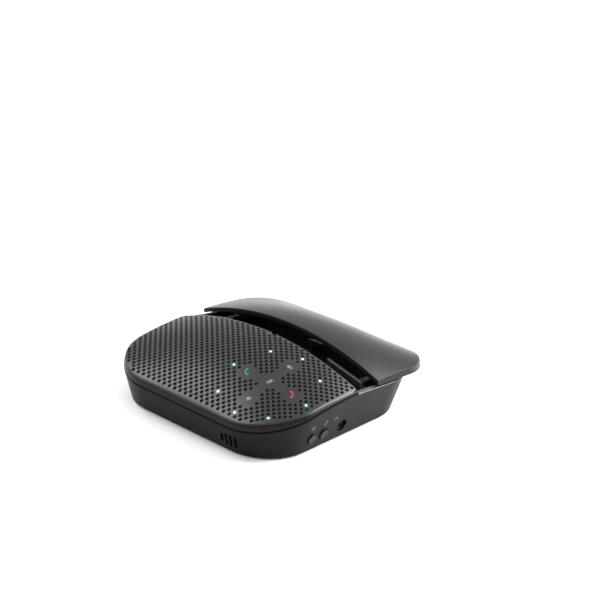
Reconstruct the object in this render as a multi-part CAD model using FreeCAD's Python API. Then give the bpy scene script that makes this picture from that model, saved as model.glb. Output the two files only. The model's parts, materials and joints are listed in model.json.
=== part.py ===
"""Conference speakerphone with a sliding rear cover that opens a phone slot.

Frame: millimetres, +X right, +Y to the rear, +Z up. The origin is on the table,
under the centre of the base's bottom outline. The rest pose has the cover open.
"""
import FreeCAD, Part
import math
import os

V = FreeCAD.Vector

# --- base -----------------------------------------------------------------
HALF_W = 54.1            # half width of the bottom outline
HALF_L = 53.4            # half length of the bottom outline
CORNER_R = 24.4          # corner radius of the bottom outline
DRAFT = math.tan(math.radians(16.0))     # walls lean outwards
WALL = 2.2
HOUSING_Z0 = 0.6         # bottom edge of the lower housing
PLATE_Z = (0.8, 2.6)     # base plate, bottom and top

# --- seam between the lower housing and the upper parts --------------------
SEAM_PEAK = 24.5         # height of the seam at the slot
SEAM_R = 180.0           # the seam drops on this radius towards the front
SLOT_Y = 2.8             # the seam peaks here and the domes are measured from here
GRILLE_END_Y = 1.8       # rear edge of the grille, front edge of the slot
TILT = math.radians(5.0)     # the cover slides down to the rear at this angle
COVER_GAP = 1.2             # between the wall and the edge of the cover
DECK_DROP = 2.8          # deck top below the seam
DECK_T = 1.8

# --- domed top ---------------------------------------------------------------
DOME_HALF_W = 59.0       # half width where the dome's edge heights hold
FRONT_DOME = {"edge": 27.0, "crown": 10.8, "drop": 8.5, "length": 60.0}
COVER_DOME = {"edge": 28.2, "crown": 11.3, "drop": 6.5, "length": 54.2}
GRILLE_T = 0.6
NOTCH_X = 4.2            # thumb notch in the rear edge of the grille
NOTCH_R = 1.6
COVER_T = 2.4
COVER_LEAN = 0.3         # inward lean of the cover's sides
COVER_EDGE_R = 0.4

# --- cover ---------------------------------------------------------------------
TRAVEL = 14.0
COVER_FRONT_Y = 3.3      # front edge of the closed cover
OPEN = V(0, TRAVEL * math.cos(TILT), -TRAVEL * math.sin(TILT))
RIB_Y = (9.3, 11.1)      # phone stops in the slot
RIB_X = (33.0, 55.4)
RIB_TOP = (31.4, 26.1)   # height at the inner and the outer end
RAIL_X = 49.5
RAIL_Y = (18.0, 45.0)

# --- perforation lattice and light ring ----------------------------------------
PITCH_X = 3.68
PITCH_Y = 3.62
RING = (30.1, -29.1)     # centre of the touch area; lights are half pitches away from it
LIGHT_STEPS = ((13, 0), (9, 10), (0, 13), (-8, 9), (-12, -1), (-9, -10), (0, -13), (9, -10))
LIGHTS = [(RING[0] + i * PITCH_X / 2, RING[1] + j * PITCH_Y / 2) for i, j in LIGHT_STEPS]
LIGHT_R = 0.7

# --- side controls ----------------------------------------------------------------
BUTTON_Y = {"power_button": -26.0, "pairing_button": -17.3}
BUTTON_Z = 7.6
BUTTON_R = 2.6
BUTTON_HOLE_R = 3.1
BUTTON_PROUD = 0.8
JACK = (-3.75, 7.9)      # y and z of the headset socket
JACK_R = 1.8
JACK_LEN = 14.0
JACK_MOUTH_X = 54.8      # the socket's nose sits back from the outer wall
JACK_HOLE_R = 3.2
USB_X = 22.0
MIC_X = 29.6
MIC_Z = 7.1
MIC_PITCH = 2.85
MIC_SLOTS = (4.8, 6.6, 7.0, 6.2)     # slot lengths from left to right
MIC_SLOT_R = 0.8

# --- speaker -------------------------------------------------------------------------
SPEAKER = (-26.5, -27.0)
BAFFLE = ((-56.0, 10.0), (0.3, 19.5))    # underside, front and rear (y, z)
BAFFLE_T = 2.0
BATTERY_Z = 3.4

os.makedirs("parts", exist_ok=True)
BIG = 90.0


def save(name, shape):
    shape = shape.removeSplitter() if len(shape.Solids) == 1 else shape
    if not shape.isValid() or not shape.Solids:
        raise ValueError(name + " is not a valid solid")
    shape.exportStep("parts/" + name + ".step")
    box = shape.BoundBox
    print(f"{name:22s} solids {len(shape.Solids)} vol {shape.Volume:9.1f} "
          f"x {box.XMin:.1f}..{box.XMax:.1f} y {box.YMin:.1f}..{box.YMax:.1f} z {box.ZMin:.1f}..{box.ZMax:.1f}")


def box(x0, x1, y0, y1, z0, z1):
    return Part.makeBox(x1 - x0, y1 - y0, z1 - z0, V(x0, y0, z0))


def fuse(*shapes):
    return shapes[0].multiFuse(list(shapes[1:])).removeSplitter()


def group(shapes):
    return Part.makeCompound(shapes)


def prism_yz(points, half_width=BIG):
    """A solid with the given outline in the YZ plane, running across X."""
    edge_points = [V(-half_width, y, z) for y, z in points]
    face = Part.Face(Part.makePolygon(edge_points + edge_points[:1]))
    return face.extrude(V(2 * half_width, 0, 0))


def rounded(shape, radius, wanted):
    """Rounds the edges whose middle point passes the test."""
    edges = [e for e in shape.Edges
             if wanted(e.valueAt((e.FirstParameter + e.LastParameter) / 2))]
    return shape.makeFillet(radius, edges)


# --- outlines ---------------------------------------------------------------------
def rounded_wire(offset, z):
    """The bottom outline, grown by offset, at height z."""
    w, l, r = HALF_W + offset, HALF_L + offset, CORNER_R + offset
    edges = []
    for turn in range(4):
        a, b = (w, l) if turn % 2 == 0 else (l, w)
        spin = FreeCAD.Rotation(V(0, 0, 1), 90 * turn)
        mid = r * math.sqrt(0.5)
        side = Part.LineSegment(V(a, -(b - r), z), V(a, b - r, z))
        arc = Part.Arc(V(a, b - r, z), V(a - r + mid, b - r + mid, z), V(a - r, b, z))
        for curve in (side, arc):
            edge = curve.toShape()
            edge.Placement = FreeCAD.Placement(V(0, 0, 0), spin)
            edges.append(edge)
    return Part.Wire(edges)


def drafted(offset, z0, z1):
    """The base's leaning walls, moved outwards by offset, between two heights."""
    wires = [rounded_wire(offset + DRAFT * z, z) for z in (z0, z1)]
    return Part.makeLoft(wires, True, True)


def seam_z(y):
    if y >= SLOT_Y:
        return SEAM_PEAK - (y - SLOT_Y) * math.tan(TILT)
    return SEAM_PEAK - SEAM_R + math.sqrt(SEAM_R ** 2 - (y - SLOT_Y) ** 2)


def below_seam(drop=0.0):
    """Everything below the seam surface, which is an arc in front and a slope behind."""
    points = [V(-BIG, y, seam_z(y) - drop) for y in (-80.0, -38.0, SLOT_Y, BIG)]
    low_rear = V(-BIG, BIG, -10)
    low_front = V(-BIG, -80, -10)
    edges = [Part.Arc(points[0], points[1], points[2]).toShape(),
             Part.LineSegment(points[2], points[3]).toShape(),
             Part.LineSegment(points[3], low_rear).toShape(),
             Part.LineSegment(low_rear, low_front).toShape(),
             Part.LineSegment(low_front, points[0]).toShape()]
    return Part.Face(Part.Wire(edges)).extrude(V(2 * BIG, 0, 0))


def lean(y):
    """Inward lean of the front band: near upright in front, most at the slot."""
    t = min(max((y + 58.0) / 40.0, 0.0), 1.0)
    return 0.08 + 0.52 * t * t * (3 - 2 * t)


def cover_lean(_):
    return COVER_LEAN


def outline_directions():
    """Skeleton points of the bottom outline with their outward directions, anticlockwise."""
    cx, cy = HALF_W - CORNER_R, HALF_L - CORNER_R
    corners = ((cx, cy), (-cx, cy), (-cx, -cy), (cx, -cy))
    arc_steps, side_steps = 9, 7
    found = []
    for k in range(4):
        (x0, y0), (x1, y1) = corners[k], corners[(k + 1) % 4]
        for i in range(arc_steps + 1):
            a = math.radians(90.0 * (k + i / arc_steps))
            found.append((x0, y0, math.cos(a), math.sin(a)))
        a = math.radians(90.0 * (k + 1))
        for i in range(1, side_steps):
            t = i / side_steps
            found.append((x0 + (x1 - x0) * t, y0 + (y1 - y0) * t, math.cos(a), math.sin(a)))
    return found


def outline_knots():
    """Arc lengths along the bottom outline, so that all heights share one spacing."""
    points = [V(x + nx * CORNER_R, y + ny * CORNER_R, 0) for x, y, nx, ny in outline_directions()]
    knots = [0.0]
    for a, b in zip(points, points[1:] + points[:1]):
        knots.append(knots[-1] + (b - a).Length)
    return knots


def band_wire(z, inset, lean_at):
    """Outline of the upper side band, carried along its lean to height z."""
    points = []
    for x, y, nx, ny in outline_directions():
        grown = 5.0
        for _ in range(12):
            grown = DRAFT * seam_z(y + ny * (CORNER_R + grown))
        y_seam = y + ny * (CORNER_R + grown)
        offset = CORNER_R + grown - lean_at(y_seam) * (z - seam_z(y_seam)) - inset
        points.append(V(x + nx * offset, y + ny * offset, z))
    curve = Part.BSplineCurve()
    curve.interpolate(Points=points, PeriodicFlag=True, Parameters=outline_knots())
    return Part.Wire([curve.toShape()])


def band(inset=0.0, lean_at=lean):
    """Solid inside the upper side band, moved inwards by inset."""
    return Part.makeLoft([band_wire(z, inset, lean_at) for z in (8.0, 44.0)], True, True)


def dome_z(dome, x, y):
    u = (y - SLOT_Y) / dome["length"]
    w = x / DOME_HALF_W
    return dome["edge"] - dome["drop"] * u * u + dome["crown"] * (1 - u * u) * (1 - w * w)


def below_dome(dome, drop=0.0):
    """Everything under the domed top, lowered by drop. The dome is biquadratic."""
    xs = (-66.0, 66.0)
    ys = (-64.0, 64.0)
    surface = Part.BezierSurface()
    surface.increase(2, 2)
    for i in range(3):
        for j in range(3):
            x1, x2 = xs[i // 2], xs[(i + 1) // 2]
            y1, y2 = ys[j // 2], ys[(j + 1) // 2]
            uu = (y1 - SLOT_Y) * (y2 - SLOT_Y) / dome["length"] ** 2
            ww = x1 * x2 / DOME_HALF_W ** 2
            z = dome["edge"] - dome["drop"] * uu + dome["crown"] * (1 - uu) * (1 - ww) - drop
            surface.setPole(i + 1, j + 1, V((x1 + x2) / 2, (y1 + y2) / 2, z))
    return surface.toShape().extrude(V(0, 0, -150))


# --- lower housing and bottom -------------------------------------------------
BOSS = (43.6, 42.8)
BOSS_R = 3.6
BOSS_TOP = 10.6
BOSSES = [(sx * BOSS[0], sy * BOSS[1]) for sx in (1, -1) for sy in (1, -1)]
PAD_INSET = 10.0         # the rubber base pad, in from the bottom outline


def screw_boss(x, y):
    """A screw boss with a web that ties it to the corner of the wall."""
    z0 = PLATE_Z[1] + 0.1
    post = Part.makeCylinder(BOSS_R, BOSS_TOP - z0, V(x, y, z0))
    web = Part.makeBox(8.0, 2.4, BOSS_TOP - z0, V(0, -1.2, 0))
    turn = FreeCAD.Rotation(V(0, 0, 1), math.degrees(math.atan2(y, x)))
    web.Placement = FreeCAD.Placement(V(x, y, z0), turn)
    return fuse(post, web).common(drafted(-1.0, -1, 30))


def housing_walls():
    """The leaning shell, open above and below, with its two outer rims rounded."""
    block = drafted(0, HOUSING_Z0, 40).common(below_seam())
    block = rounded(block, 0.5, lambda p: abs(p.z - seam_z(p.y)) < 0.01)
    block = rounded(block, 0.8, lambda p: abs(p.z - HOUSING_Z0) < 0.01)
    return block.cut(drafted(-WALL, -1, 45))


def lower_housing():
    walls = housing_walls()
    body = fuse(walls, *[screw_boss(x, y) for x, y in BOSSES])
    cuts = [Part.makeCylinder(1.05, 20, V(x, y, 0)) for x, y in BOSSES]
    for y in BUTTON_Y.values():
        cuts.append(Part.makeCylinder(BUTTON_HOLE_R, 20, V(45, y, BUTTON_Z), V(1, 0, 0)))
    cuts.append(Part.makeCylinder(JACK_HOLE_R, 20, V(45, JACK[0], JACK[1]), V(1, 0, 0)))
    cuts.append(box(USB_X - 4.7, USB_X + 4.7, 48, 65, 4.5, 8.6))
    for i, length in enumerate(MIC_SLOTS):
        x = MIC_X + (i - 1.5) * MIC_PITCH
        cuts.append(slot_cut(x, length))
    return body.cut(Part.makeCompound(cuts))


def slot_cut(x, length):
    """One upright microphone slot through the front wall."""
    r = MIC_SLOT_R
    reach = length / 2 - r
    shapes = [box(x - r, x + r, -65, -45, MIC_Z - reach, MIC_Z + reach)]
    for z in (MIC_Z - reach, MIC_Z + reach):
        shapes.append(Part.makeCylinder(r, 20, V(x, -65, z), V(0, 1, 0)))
    return fuse(*shapes)


def base_plate():
    plate = drafted(-WALL - 0.1, *PLATE_Z)
    for x, y in BOSSES:
        plate = plate.cut(Part.makeCylinder(1.3, 5, V(x, y, 0)))
        plate = plate.cut(Part.makeCylinder(2.7, 2.0, V(x, y, 0)))
    return plate


def case_screws():
    screws = []
    for x, y in BOSSES:
        head = Part.makeCylinder(2.5, 0.9, V(x, y, 1.05))
        shank = Part.makeCylinder(1.0, 7.0, V(x, y, 1.95))
        socket = Part.makeCylinder(1.1, 0.5, V(x, y, 1.05))
        screws.append(fuse(head, shank).cut(socket))
    return group(screws)


def rubber_base():
    return Part.Face(rounded_wire(-PAD_INSET, 0)).extrude(V(0, 0, PLATE_Z[0]))


# --- front: bezel, grille, cloth ------------------------------------------------
def front_part(shape):
    return shape.common(box(-BIG, BIG, -BIG, GRILLE_END_Y, -5, 60))


def front_bezel():
    groove = 0.4
    back = GRILLE_END_Y - 0.4
    front = back - 1.8
    under = below_dome(FRONT_DOME, GRILLE_T)
    inner = band(2.0).common(box(-BIG, BIG, -BIG, front, -5, 60))
    upper = band().common(under).cut(below_seam(-groove))
    lower = band(0.35).common(below_seam(-groove)).cut(below_seam())
    ring = fuse(upper, lower).cut(inner).common(box(-BIG, BIG, -BIG, back, -5, 60))
    wall = drafted(-WALL - 0.1, 5, 45).common(box(-BIG, BIG, front, back, 18, 30))
    wall = wall.cut(below_seam(DECK_DROP)).common(below_seam(-0.2))
    wall = wall.common(under)
    return fuse(ring, wall)


def light_holes(radius):
    return [Part.makeCylinder(radius, 60, V(x, y, 0)) for x, y in LIGHTS]


def speaker_grille():
    skin = band().common(below_dome(FRONT_DOME)).cut(below_dome(FRONT_DOME, GRILLE_T))
    skin = front_part(skin)
    notch = Part.makeCylinder(NOTCH_R, 60, V(NOTCH_X, GRILLE_END_Y + 0.4, 0))
    return skin.cut(Part.makeCompound(light_holes(LIGHT_R + 0.1) + [notch]))


def acoustic_cloth():
    top, bottom = below_dome(FRONT_DOME, GRILLE_T + 0.05), below_dome(FRONT_DOME, GRILLE_T + 0.5)
    sheet = band(2.3).common(top).cut(bottom).common(box(-BIG, BIG, -BIG, GRILLE_END_Y - 2.4, -5, 60))
    return sheet.cut(Part.makeCompound(light_holes(LIGHT_R + 0.1)))


# --- slot and deck ---------------------------------------------------------------
def deck_plate():
    plate = below_seam(DECK_DROP).cut(below_seam(DECK_DROP + DECK_T))
    return plate.common(drafted(-WALL - 0.05, 5, 40)).common(box(-BIG, BIG, 0.6, BIG, 0, 40))


def slot_rib(side):
    """A phone stop with round ends and a straight top that falls towards the side."""
    y0, y1 = RIB_Y
    x0, x1 = RIB_X
    r = (y1 - y0) / 2
    bar = box(x0 + r, x1 - r, y0, y1, 15, 50)
    ends = [Part.makeCylinder(r, 35, V(x, y0 + r, 15)) for x in (x0 + r, x1 - r)]
    tops = [V(x, y0, z) for x, z in ((x0, 0), (x1, 0), (x1, RIB_TOP[1]), (x0, RIB_TOP[0]))]
    under = Part.Face(Part.makePolygon(tops + tops[:1])).extrude(V(0, y1 - y0, 0))
    rib = fuse(bar, *ends).common(under).cut(below_seam(DECK_DROP))
    return rib if side > 0 else rib.mirror(V(0, 0, 0), V(1, 0, 0))


def slot_pad():
    pad = box(-31.0, 31.0, 3.4, 15.6, 15, 40)
    return pad.common(below_seam(DECK_DROP - 0.9)).cut(below_seam(DECK_DROP))


def along_slope(x0, x1, y0, y1, low, high):
    """A bar over the deck between two heights measured from the sloping seam."""
    drop = math.tan(TILT)
    z0, z1 = SEAM_PEAK - (y0 - SLOT_Y) * drop, SEAM_PEAK - (y1 - SLOT_Y) * drop
    bar = prism_yz([(y0, z0 + low), (y1, z1 + low), (y1, z1 + high), (y0, z0 + high)])
    return bar.common(box(x0, x1, -BIG, BIG, -BIG, BIG))


def guide_rail(side):
    stem = along_slope(RAIL_X - 0.8, RAIL_X + 0.8, *RAIL_Y, -DECK_DROP, -1.1)
    head = along_slope(RAIL_X - 1.7, RAIL_X + 1.7, *RAIL_Y, -1.2, 0.0)
    rail = fuse(stem, head)
    return rail if side > 0 else rail.mirror(V(0, 0, 0), V(1, 0, 0))


def detent_spring():
    """A leaf clamped to the deck, with a rounded bump that the cover's catch passes."""
    half = 4.0
    foot = along_slope(-half, half, 26.0, 31.0, -DECK_DROP, -DECK_DROP + 0.4)
    rise = [(31.0, 0.0), (36.0, 1.6), (39.0, 2.4), (42.0, 1.6), (44.0, 1.0)]
    leaf = [foot]
    for (ya, ha), (yb, hb) in zip(rise, rise[1:]):
        za = seam_z(ya) - DECK_DROP + ha
        zb = seam_z(yb) - DECK_DROP + hb
        leaf.append(prism_yz([(ya, za), (yb, zb), (yb, zb + 0.4), (ya, za + 0.4)], half))
    return fuse(*leaf)


# --- sliding cover, modelled closed and then moved open --------------------------
def opened(shape):
    return shape.translated(OPEN)


def above_seam(gap):
    return box(-BIG, BIG, -BIG, BIG, -5, 60).cut(below_seam(-gap))


def rear_cover():
    outer = band(0.0, cover_lean).common(below_dome(COVER_DOME)).common(above_seam(COVER_GAP))
    outer = outer.common(box(-BIG, BIG, COVER_FRONT_Y, BIG, -5, 60))
    outer = rounded(outer, COVER_EDGE_R, lambda p: abs(p.z - dome_z(COVER_DOME, p.x, p.y)) < 0.02)
    inner = band(WALL, cover_lean).common(below_dome(COVER_DOME, COVER_T))
    return opened(outer.cut(inner))


def slide_shoe(side):
    """Hooks under one rail's head; its top meets the underside of the cover."""
    y0, y1 = 19.0, 30.0
    leg = along_slope(RAIL_X - 4.2, RAIL_X - 2.0, y0, y1, -2.4, 12.0)
    foot = along_slope(RAIL_X - 4.2, RAIL_X - 1.15, y0, y1, -2.4, -1.5)
    pad = along_slope(RAIL_X - 4.2, RAIL_X + 1.7, y0, y1, 0.3, 12.0)
    shoe = fuse(leg, foot, pad).common(below_dome(COVER_DOME, COVER_T))
    shoe = shoe if side > 0 else shoe.mirror(V(0, 0, 0), V(1, 0, 0))
    return opened(shoe)


def cover_catch():
    """A block under the cover that rides over the detent leaf."""
    block = along_slope(-3.0, 3.0, 26.5, 29.5, 0.6, 20.0)
    return opened(block.common(below_dome(COVER_DOME, COVER_T)))


# --- speaker -------------------------------------------------------------------------
BAFFLE_SLOPE = (BAFFLE[1][1] - BAFFLE[0][1]) / (BAFFLE[1][0] - BAFFLE[0][0])


def baffle_top(y):
    return BAFFLE[0][1] + (y - BAFFLE[0][0]) * BAFFLE_SLOPE + BAFFLE_T


def seated(shape):
    """Places a piece modelled around the driver's axis on the sloping baffle."""
    spin = FreeCAD.Rotation(V(1, 0, 0), math.degrees(math.atan(BAFFLE_SLOPE)))
    place = V(SPEAKER[0], SPEAKER[1], baffle_top(SPEAKER[1]))
    out = shape.copy()
    out.Placement = FreeCAD.Placement(place, spin)
    return out


def ring(r_in, r_out, z0, z1):
    return Part.makeCylinder(r_out, z1 - z0, V(0, 0, z0)).cut(
        Part.makeCylinder(r_in, z1 - z0, V(0, 0, z0)))


def turned(points):
    """A solid of revolution about Z from an outline of (r, z) points."""
    edge_points = [V(r, 0, z) for r, z in points]
    face = Part.Face(Part.makePolygon(edge_points + edge_points[:1]))
    return face.revolve(V(0, 0, 0), V(0, 0, 1), 360)


def speaker_baffle():
    (y0, z0), (y1, z1) = BAFFLE
    plate = prism_yz([(y0, z0), (y1, z1), (y1, z1 + BAFFLE_T), (y0, z0 + BAFFLE_T)])
    plate = plate.common(drafted(-WALL - 0.05, 5, 40))
    return plate.cut(seated(Part.makeCylinder(21.3, 30, V(0, 0, -15))))


def speaker_frame():
    basket = turned([(20.2, 0), (21.0, 0), (15.6, -7.0), (14.8, -7.0)])
    back = ring(7.0, 15.6, -7.8, -7.0)
    body = fuse(ring(20.2, 26.0, 0, 1.2), basket, back)
    windows = [Part.makeBox(4, 40, 3.4, V(-2, -20, -5.6)) for _ in range(2)]
    windows[1].Placement = FreeCAD.Placement(V(0, 0, 0), FreeCAD.Rotation(V(0, 0, 1), 90))
    return seated(body.cut(Part.makeCompound(windows)))


def speaker_surround():
    roll = turned([(16.6, 1.3), (17.6, 2.3), (18.8, 2.7), (20.0, 2.3), (21.0, 1.3),
                   (20.4, 1.3), (18.8, 2.1), (17.2, 1.3)])
    return seated(roll)


def speaker_cone():
    cone = turned([(16.5, 1.0), (16.5, 1.6), (6.2, -2.4), (4.5, -1.4), (0.0, -0.6),
                   (0.0, -1.2), (4.3, -2.0), (6.0, -3.0)])
    return seated(cone)


def headset_jack():
    y, z = JACK
    body = box(40.0, 52.6, y - 3.2, y + 3.2, 5.0, 11.0)
    nose = Part.makeCylinder(2.5, JACK_MOUTH_X - 52.6, V(52.6, y, z), V(1, 0, 0))
    bore = Part.makeCylinder(JACK_R, JACK_LEN, V(JACK_MOUTH_X - JACK_LEN, y, z), V(1, 0, 0))
    return fuse(body, nose).cut(bore)


def usb_socket():
    shell = box(USB_X - 4, USB_X + 4, 47.5, 54.4, 5.0, 8.0)
    cavity = box(USB_X - 3.5, USB_X + 3.5, 49.0, 56, 5.4, 7.6)
    tongue = box(USB_X - 2.4, USB_X + 2.4, 48.8, 53.4, 6.2, 6.8)
    return fuse(shell.cut(cavity), tongue)


def button(y):
    """A round cap whose face follows the leaning wall, with a retaining flange."""
    cap = Part.makeCylinder(BUTTON_R, 10, V(52.0, y, BUTTON_Z), V(1, 0, 0))
    cap = cap.common(drafted(BUTTON_PROUD, 0, 30))
    flange = Part.makeCylinder(3.7, 1.1, V(51.3, y, BUTTON_Z), V(1, 0, 0))
    return fuse(cap, flange)


def button_switches():
    parts = []
    for y in BUTTON_Y.values():
        body = box(46.8, 50.0, y - 2.4, y + 2.4, BUTTON_Z - 2.2, BUTTON_Z + 2.2)
        plunger = Part.makeCylinder(1.2, 0.7, V(50.0, y, BUTTON_Z), V(1, 0, 0))
        parts.append(fuse(body, plunger))
    return group(parts)


# --- touch controls ------------------------------------------------------------------
TOUCH_DROP = 7.0         # board top below the dome at the ring's centre
TOUCH_R = 25.6


def touch_slopes():
    x, y = RING
    h = 0.5
    slope_x = (dome_z(FRONT_DOME, x + h, y) - dome_z(FRONT_DOME, x - h, y)) / (2 * h)
    slope_y = (dome_z(FRONT_DOME, x, y + h) - dome_z(FRONT_DOME, x, y - h)) / (2 * h)
    return slope_x, slope_y


def touch_plane_z(x, y, drop):
    """Height of the plane parallel to the dome at the ring's centre, drop below it."""
    slope_x, slope_y = touch_slopes()
    z = dome_z(FRONT_DOME, *RING) - drop
    return z + slope_x * (x - RING[0]) + slope_y * (y - RING[1])


def touch_disc(radius, drop, depth):
    """A disc whose top is the plane at that drop, going down square to it."""
    slope_x, slope_y = touch_slopes()
    centre = V(RING[0], RING[1], touch_plane_z(*RING, drop))
    return Part.makeCylinder(radius, depth, centre, V(slope_x, slope_y, -1))


def touch_board():
    return touch_disc(TOUCH_R, TOUCH_DROP, 1.6)


def touch_board_frame():
    """A tube that carries the board, cut to the baffle below and the board above."""
    tube = ring(20.5, 22.8, 5, 35).translated(V(RING[0], RING[1], 0))
    (y0, z0), (y1, z1) = BAFFLE
    low = prism_yz([(y0, z0 + BAFFLE_T), (y1, z1 + BAFFLE_T), (y1, 60), (y0, 60)])
    return tube.common(low).common(touch_disc(40.0, TOUCH_DROP + 1.75, 40))


def led_light_pipes():
    """Upright pipes from just over the board to the grille's top surface."""
    pipes = []
    for x, y in LIGHTS:
        base = V(x, y, touch_plane_z(x, y, TOUCH_DROP) + 0.3)
        pipes.append(Part.makeCylinder(LIGHT_R, 20, base).common(below_dome(FRONT_DOME)))
    return group([pipe.Solids[0] for pipe in pipes])


# --- electronics ------------------------------------------------------------------------
def main_board():
    board = box(4.0, 44.6, -44.0, 46.5, 3.4, 5.0)
    notches = [Part.makeCylinder(BOSS_R + 0.4, 5, V(x, y, 2)) for x, y in BOSSES]
    return board.cut(Part.makeCompound(notches))


def board_chips():
    spots = ((12, -30, 9, 9, 1.2), (28, 22, 12, 12, 1.4), (14, 6, 7, 7, 1.0), (34, -34, 5, 7, 1.0),
             (12, 34, 6, 5, 2.2), (31, 4, 8, 6, 1.8))
    return group([box(x - a / 2, x + a / 2, y - b / 2, y + b / 2, 5.0, 5.0 + h)
                  for x, y, a, b, h in spots])


def board_posts():
    spots = ((8, -40), (40, -36), (8, 42.5), (38, 36))
    return group([Part.makeCylinder(2.0, 0.8, V(x, y, PLATE_Z[1])) for x, y in spots])


def battery_pack():
    pack = box(-46.0, -6.0, 6.0, 38.0, BATTERY_Z, BATTERY_Z + 8.0)
    return pack.makeFillet(2.0, pack.Edges)


def battery_bracket():
    z_top = BATTERY_Z + 8.3
    z_low = PLATE_Z[1]
    top = box(-48.2, -3.8, 20.0, 32.0, z_top, z_top + 1.0)
    legs = [box(-48.2, -47.2, 20.0, 32.0, z_low, z_top), box(-4.8, -3.8, 20.0, 32.0, z_low, z_top)]
    return fuse(top, *legs)


def microphone():
    return Part.makeCylinder(3.0, 3.2, V(MIC_X, -50.2, MIC_Z), V(0, 1, 0))


def microphone_boot():
    tube = Part.makeCylinder(3.7, 5.4, V(MIC_X, -51.8, MIC_Z), V(0, 1, 0))
    return tube.cut(Part.makeCylinder(3.0, 9.0, V(MIC_X, -53, MIC_Z), V(0, 1, 0)))


save("lower_housing", lower_housing())
save("base_plate", base_plate())
save("case_screws", case_screws())
save("rubber_base", rubber_base())
save("front_bezel", front_bezel())
save("speaker_grille", speaker_grille())
save("acoustic_cloth", acoustic_cloth())
save("deck_plate", deck_plate())
save("slot_pad", slot_pad())
save("detent_spring", detent_spring())
save("rear_cover", rear_cover())
save("cover_catch", cover_catch())
for side, word in ((1, "right"), (-1, "left")):
    save("slot_rib_" + word, slot_rib(side))
    save("guide_rail_" + word, guide_rail(side))
    save("slide_shoe_" + word, slide_shoe(side))
save("speaker_baffle", speaker_baffle())
save("speaker_frame", speaker_frame())
save("speaker_magnet", seated(Part.makeCylinder(14.0, 4.0, V(0, 0, -11.8))))
save("speaker_surround", speaker_surround())
save("speaker_cone", speaker_cone())
save("speaker_gasket", seated(ring(21.6, 25.6, 1.2, 2.2)))
save("touch_board", touch_board())
save("touch_board_frame", touch_board_frame())
save("led_light_pipes", led_light_pipes())
save("main_board", main_board())
save("board_chips", board_chips())
save("board_posts", board_posts())
save("side_board", box(45.4, 46.8, -32.0, -11.5, 4.0, 13.5))
save("button_switches", button_switches())
for name, y in BUTTON_Y.items():
    save(name, button(y))
save("headset_jack", headset_jack())
save("usb_socket", usb_socket())
save("microphone", microphone())
save("microphone_boot", microphone_boot())
save("battery_pack", battery_pack())
save("battery_bracket", battery_bracket())
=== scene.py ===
"""Looks of the conference speakerphone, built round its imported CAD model.

Metres, +X right, +Y rear, +Z up, origin on the table under the base. At rest the cover is open.
"""
import json
import math

import bpy
import numpy as np
from mathutils import Matrix, Vector
from mathutils.geometry import delaunay_2d_cdt

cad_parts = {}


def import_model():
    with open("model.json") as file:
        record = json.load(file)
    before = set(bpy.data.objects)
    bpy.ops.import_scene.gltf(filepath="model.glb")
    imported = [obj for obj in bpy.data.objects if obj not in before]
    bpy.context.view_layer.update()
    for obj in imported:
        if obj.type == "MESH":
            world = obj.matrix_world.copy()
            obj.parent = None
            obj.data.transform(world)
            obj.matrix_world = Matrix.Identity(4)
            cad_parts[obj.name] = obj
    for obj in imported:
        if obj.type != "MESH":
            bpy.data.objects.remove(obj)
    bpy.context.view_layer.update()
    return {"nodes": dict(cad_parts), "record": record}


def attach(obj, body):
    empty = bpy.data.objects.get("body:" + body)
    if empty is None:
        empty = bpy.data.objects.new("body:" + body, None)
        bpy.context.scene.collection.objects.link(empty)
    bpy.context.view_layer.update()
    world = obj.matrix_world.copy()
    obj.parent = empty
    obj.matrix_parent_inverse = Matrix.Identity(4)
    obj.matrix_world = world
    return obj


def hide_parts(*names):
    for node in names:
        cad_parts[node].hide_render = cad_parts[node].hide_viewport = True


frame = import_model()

MM = 0.001

# --- driving dimensions, shared with the CAD ------------------------------------------
HALF_W = 54.1 * MM              # half width of the bottom outline
HALF_L = 53.4 * MM              # half length of the bottom outline
CORNER_R = 24.4 * MM            # corner radius of the bottom outline
DRAFT = math.tan(math.radians(16.0))     # walls lean outwards
SEAM_PEAK = 24.5 * MM           # height of the seam at the slot
SEAM_R = 180.0 * MM             # the seam drops on this radius towards the front
SLOT_Y = 2.8 * MM               # the seam peaks here and the domes are measured from here
DOME_HALF_W = 59.0 * MM         # half width where the domes' edge heights hold
FRONT_DOME = {"edge": 27.0 * MM, "crown": 10.8 * MM, "drop": 8.5 * MM, "length": 60.0 * MM}
COVER_DOME = {"edge": 28.2 * MM, "crown": 11.3 * MM, "drop": 6.5 * MM, "length": 54.2 * MM}
GRILLE_END = 1.8 * MM           # rear edge of the grille, front edge of the slot
GRILLE_T = 0.6 * MM
NOTCH_X = 4.2 * MM              # thumb notch in the rear edge of the grille
NOTCH_R = 1.6 * MM
TILT = math.radians(5.0)        # the cover slides down to the rear at this angle
TRAVEL = 14.0 * MM              # from closed to open
OPEN = Vector((0, TRAVEL * math.cos(TILT), -TRAVEL * math.sin(TILT)))
COVER_LEAN = 0.3                # inward lean of the cover's sides
COVER_FRONT = 3.3 * MM          # front edge of the closed cover
PITCH_X = 3.68 * MM             # the staggered lattice of holes
PITCH_Y = 3.62 * MM
RING = (30.1 * MM, -29.1 * MM)  # centre of the touch area, with the lights round it
LIGHT_STEPS = ((13, 0), (9, 10), (0, 13), (-8, 9), (-12, -1), (-9, -10), (0, -13), (9, -10))
LIGHTS = [(RING[0] + i * PITCH_X / 2, RING[1] + j * PITCH_Y / 2) for i, j in LIGHT_STEPS]
LIGHT_R = 0.7 * MM
BUTTON_Y = {"power": -26.0 * MM, "pairing": -17.3 * MM}
BUTTON_Z = 7.6 * MM
BUTTON_R = 2.6 * MM
BUTTON_PROUD = 0.8 * MM

# --- details that only the looks have -------------------------------------------------
SETTLE = 12                     # rounds for a height that depends on its own place

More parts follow.
